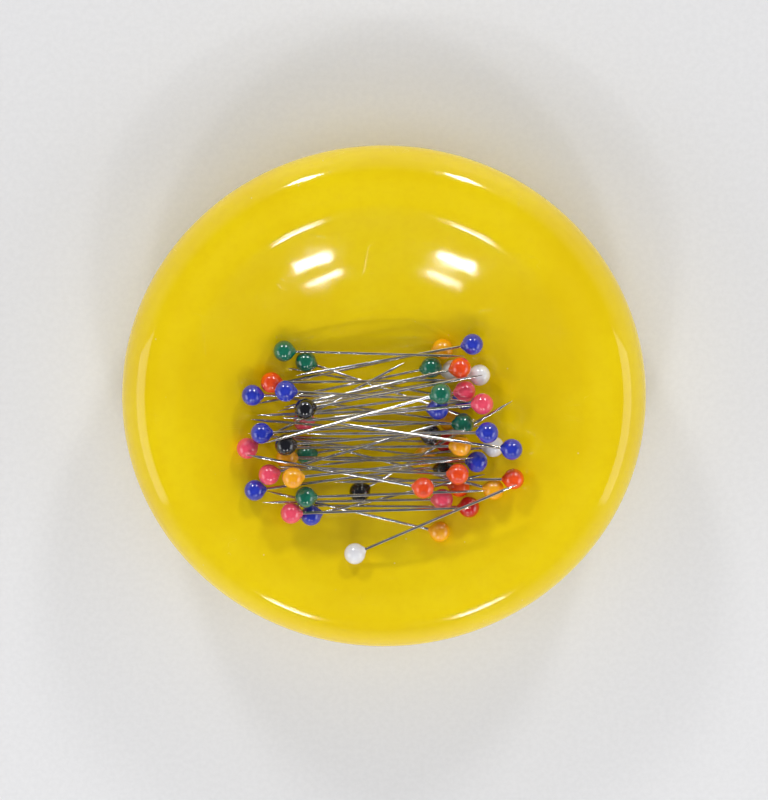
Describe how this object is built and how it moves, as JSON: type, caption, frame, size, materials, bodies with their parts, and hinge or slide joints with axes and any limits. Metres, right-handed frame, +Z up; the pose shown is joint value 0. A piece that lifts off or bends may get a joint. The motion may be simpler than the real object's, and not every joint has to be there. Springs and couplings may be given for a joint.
{
  "type": "magnetic pin cushion",
  "caption": "Shallow oval plastic bowl with magnets under its floor, holding a loose heap of ball-head sewing pins.",
  "frame": {"origin": "middle of the footprint, on the surface the feet stand on", "axes": "+Z up out of the bowl; +X to the right across the long way of the dish, the way the pins point; +Y to the far side"},
  "size_m": [0.108, 0.105, 0.0297],
  "materials": {
    "shell_yellow": "glossy moulded",
    "cover_plastic": "fine matt",
    "rubber": "matt",
    "foam": "matt",
    "plated_steel": "bright plated",
    "ferrite": "dull ground",
    "head_green": "glossy",
    "head_orange": "glossy",
    "head_blue": "glossy",
    "head_black": "glossy",
    "head_pink": "glossy",
    "head_yellow": "glossy",
    "head_white": "glossy",
    "head_red": "glossy"
  },
  "bodies": {
    "dish": {"dish_shell": "shell_yellow", "base_cover": "cover_plastic", "rubber_feet": "rubber", "foam_pad": "foam", "keeper_plate": "plated_steel", "magnet_left": "ferrite", "magnet_right": "ferrite"},
    "heap_low": {"pin_01": "head_yellow", "pin_02": "head_blue", "pin_03": "head_yellow", "pin_04": "head_red", "pin_05": "head_yellow", "pin_06": "head_white", "pin_07": "head_black", "pin_08": "head_green", "pin_09": "head_orange", "pin_10": "head_pink"},
    "heap_middle": {"pin_11": "head_white", "pin_12": "head_white", "pin_13": "head_green", "pin_14": "head_green", "pin_15": "head_orange", "pin_16": "head_blue", "pin_17": "head_red", "pin_18": "head_black", "pin_19": "head_pink", "pin_20": "head_yellow"},
    "heap_upper": {"pin_21": "head_yellow", "pin_22": "head_blue", "pin_23": "head_pink", "pin_24": "head_green", "pin_25": "head_black", "pin_26": "head_yellow", "pin_27": "head_blue", "pin_28": "head_pink", "pin_29": "head_blue", "pin_30": "head_blue", "pin_31": "head_blue", "pin_32": "head_green", "pin_33": "head_orange", "pin_34": "head_orange", "pin_35": "head_yellow"},
    "loose_pin_36": {"pin_36": "head_pink"},
    "loose_pin_41": {"pin_41": "head_white"},
    "loose_pin_37": {"pin_37": "head_green"},
    "loose_pin_38": {"pin_38": "head_blue"},
    "loose_pin_39": {"pin_39": "head_blue"},
    "loose_pin_40": {"pin_40": "head_pink"},
    "loose_pin_42": {"pin_42": "head_black"},
    "loose_pin_43": {"pin_43": "head_black"},
    "loose_pin_45": {"pin_45": "head_pink"},
    "loose_pin_47": {"pin_47": "head_green"},
    "loose_pin_49": {"pin_49": "head_blue"},
    "loose_pin_50": {"pin_50": "head_blue"},
    "loose_pin_44": {"pin_44": "head_orange"},
    "loose_pin_46": {"pin_46": "head_orange"},
    "loose_pin_48": {"pin_48": "head_yellow"}
  },
  "joints": [
    {"name": "lift_heap_low", "type": "slide", "parent": "dish", "child": "heap_low", "axis": [0, 0, 1], "range_m": [0, 0.02]},
    {"name": "lift_heap_middle", "type": "slide", "parent": "heap_low", "child": "heap_middle", "axis": [0, 0, 1], "range_m": [0, 0.02]},
    {"name": "lift_heap_upper", "type": "slide", "parent": "heap_middle", "child": "heap_upper", "axis": [0, 0, 1], "range_m": [0, 0.02]},
    {"name": "lift_pin_36", "type": "slide", "parent": "heap_upper", "child": "loose_pin_36", "axis": [0, 0, 1], "range_m": [0, 0.02]},
    {"name": "lift_pin_41", "type": "slide", "parent": "loose_pin_36", "child": "loose_pin_41", "axis": [0, 0, 1], "range_m": [0, 0.02]},
    {"name": "lift_pin_37", "type": "slide", "parent": "heap_upper", "child": "loose_pin_37", "axis": [0, 0, 1], "range_m": [0, 0.02]},
    {"name": "lift_pin_38", "type": "slide", "parent": "loose_pin_37", "child": "loose_pin_38", "axis": [0, 0, 1], "range_m": [0, 0.02]},
    {"name": "lift_pin_39", "type": "slide", "parent": "loose_pin_38", "child": "loose_pin_39", "axis": [0, 0, 1], "range_m": [0, 0.02]},
    {"name": "lift_pin_40", "type": "slide", "parent": "loose_pin_39", "child": "loose_pin_40", "axis": [0, 0, 1], "range_m": [0, 0.02]},
    {"name": "lift_pin_42", "type": "slide", "parent": "loose_pin_40", "child": "loose_pin_42", "axis": [0, 0, 1], "range_m": [0, 0.02]},
    {"name": "lift_pin_43", "type": "slide", "parent": "loose_pin_42", "child": "loose_pin_43", "axis": [0, 0, 1], "range_m": [0, 0.02]},
    {"name": "lift_pin_45", "type": "slide", "parent": "loose_pin_43", "child": "loose_pin_45", "axis": [0, 0, 1], "range_m": [0, 0.02]},
    {"name": "lift_pin_47", "type": "slide", "parent": "loose_pin_45", "child": "loose_pin_47", "axis": [0, 0, 1], "range_m": [0, 0.02]},
    {"name": "lift_pin_49", "type": "slide", "parent": "loose_pin_47", "child": "loose_pin_49", "axis": [0, 0, 1], "range_m": [0, 0.02]},
    {"name": "lift_pin_50", "type": "slide", "parent": "loose_pin_49", "child": "loose_pin_50", "axis": [0, 0, 1], "range_m": [0, 0.02]},
    {"name": "lift_pin_44", "type": "slide", "parent": "loose_pin_40", "child": "loose_pin_44", "axis": [0, 0, 1], "range_m": [0, 0.02]},
    {"name": "lift_pin_46", "type": "slide", "parent": "loose_pin_44", "child": "loose_pin_46", "axis": [0, 0, 1], "range_m": [0, 0.02]},
    {"name": "lift_pin_48", "type": "slide", "parent": "loose_pin_46", "child": "loose_pin_48", "axis": [0, 0, 1], "range_m": [0, 0.02]}
  ]
}
